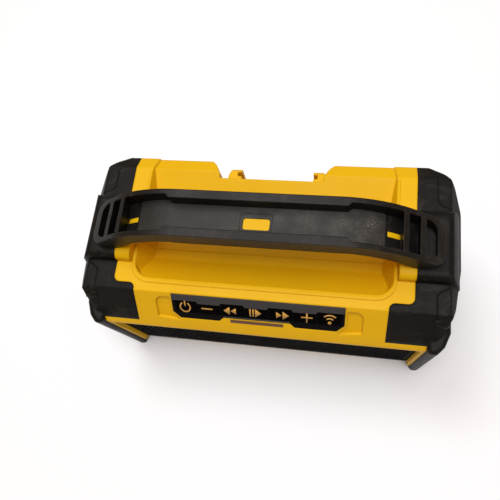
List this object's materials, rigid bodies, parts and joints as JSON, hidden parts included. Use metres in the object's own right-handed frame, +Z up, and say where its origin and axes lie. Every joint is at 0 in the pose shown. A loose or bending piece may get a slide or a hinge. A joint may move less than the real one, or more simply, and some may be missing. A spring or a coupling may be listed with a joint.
{
  "type": "jobsite radio",
  "caption": "Compact cordless jobsite radio and speaker with arched tray handle, key panel on the front slope, perforated front grille, rubber end bumpers and rear battery bay.",
  "frame": {"origin": "middle of the footprint on the surface the radio stands on", "axes": "+X to the right along the width, +Y to the rear, +Z up"},
  "size_m": [0.251, 0.128, 0.1505],
  "materials": {
    "yellow_housing": "fine moulded texture",
    "bumper_rubber": "matt overmoulded rubber",
    "handle_black": "satin moulded",
    "liner_rubber": "fine pimpled, dusty",
    "grip_rubber": "matt",
    "bezel_black": "satin moulded",
    "key_black": "semi-gloss keys",
    "lens_smoke": "smoked translucent lens",
    "board_green": "solder mask",
    "switch_black": "moulded",
    "grille_metal": "black powder coat",
    "baffle_black": "moulded",
    "basket_black": "pressed, painted",
    "magnet_steel": "zinc plated",
    "cone_paper": "coated cone",
    "surround_rubber": "satin",
    "terminal_black": "moulded",
    "blade_brass": "bright",
    "port_black": "moulded",
    "port_rubber": "soft matt",
    "screw_steel": "black zinc"
  },
  "bodies": {
    "radio_body": {"front_housing": "yellow_housing", "rear_housing": "yellow_housing", "handle_core": "yellow_housing", "end_bumper_left": "bumper_rubber", "end_bumper_right": "bumper_rubber", "handle_cover": "handle_black", "tray_liner": "liner_rubber", "handle_grip": "grip_rubber", "control_bezel": "bezel_black", "status_lens": "lens_smoke", "keypad_board": "board_green", "key_switches": "switch_black", "speaker_grille": "grille_metal", "speaker_baffle": "baffle_black", "terminal_block": "terminal_black", "terminal_blades": "blade_brass", "port_plate": "port_black", "aux_jack": "port_black", "dc_jack": "port_black", "main_board": "board_green", "case_screws": "screw_steel", "driver_basket_left": "basket_black", "driver_magnet_left": "magnet_steel", "driver_surround_left": "surround_rubber", "driver_basket_right": "basket_black", "driver_magnet_right": "magnet_steel", "driver_surround_right": "surround_rubber"},
    "power_button_body": {"power_button": "key_black"},
    "volume_down_button_body": {"volume_down_button": "key_black"},
    "previous_button_body": {"previous_button": "key_black"},
    "play_pause_button_body": {"play_pause_button": "key_black"},
    "next_button_body": {"next_button": "key_black"},
    "volume_up_button_body": {"volume_up_button": "key_black"},
    "wireless_button_body": {"wireless_button": "key_black"},
    "port_cover_body": {"port_cover": "port_rubber"},
    "cone_left": {"driver_cone_left": "cone_paper"},
    "cone_right": {"driver_cone_right": "cone_paper"}
  },
  "joints": [
    {"name": "power_button_travel", "type": "slide", "parent": "radio_body", "child": "power_button_body", "axis": [0, 0.7849, -0.6196], "range_m": [0, 0.0008], "stiffness_N_per_m": 500, "springref_m": -0.001},
    {"name": "volume_down_button_travel", "type": "slide", "parent": "radio_body", "child": "volume_down_button_body", "axis": [0, 0.7849, -0.6196], "range_m": [0, 0.0008], "stiffness_N_per_m": 500, "springref_m": -0.001},
    {"name": "previous_button_travel", "type": "slide", "parent": "radio_body", "child": "previous_button_body", "axis": [0, 0.7849, -0.6196], "range_m": [0, 0.0008], "stiffness_N_per_m": 500, "springref_m": -0.001},
    {"name": "play_pause_button_travel", "type": "slide", "parent": "radio_body", "child": "play_pause_button_body", "axis": [0, 0.7849, -0.6196], "range_m": [0, 0.0008], "stiffness_N_per_m": 500, "springref_m": -0.001},
    {"name": "next_button_travel", "type": "slide", "parent": "radio_body", "child": "next_button_body", "axis": [0, 0.7849, -0.6196], "range_m": [0, 0.0008], "stiffness_N_per_m": 500, "springref_m": -0.001},
    {"name": "volume_up_button_travel", "type": "slide", "parent": "radio_body", "child": "volume_up_button_body", "axis": [0, 0.7849, -0.6196], "range_m": [0, 0.0008], "stiffness_N_per_m": 500, "springref_m": -0.001},
    {"name": "wireless_button_travel", "type": "slide", "parent": "radio_body", "child": "wireless_button_body", "axis": [0, 0.7849, -0.6196], "range_m": [0, 0.0008], "stiffness_N_per_m": 500, "springref_m": -0.001},
    {"name": "port_cover_hinge", "type": "hinge", "parent": "radio_body", "child": "port_cover_body", "pos_m": [0.068, 0.0564, 0.05665], "axis": [1, 0, 0], "range_deg": [0, 110]},
    {"name": "cone_left_stroke", "type": "slide", "parent": "radio_body", "child": "cone_left", "axis": [0, 1, 0], "range_m": [-0.0015, 0.0015], "stiffness_N_per_m": 900},
    {"name": "cone_right_stroke", "type": "slide", "parent": "radio_body", "child": "cone_right", "axis": [0, 1, 0], "range_m": [-0.0015, 0.0015], "stiffness_N_per_m": 900}
  ]
}
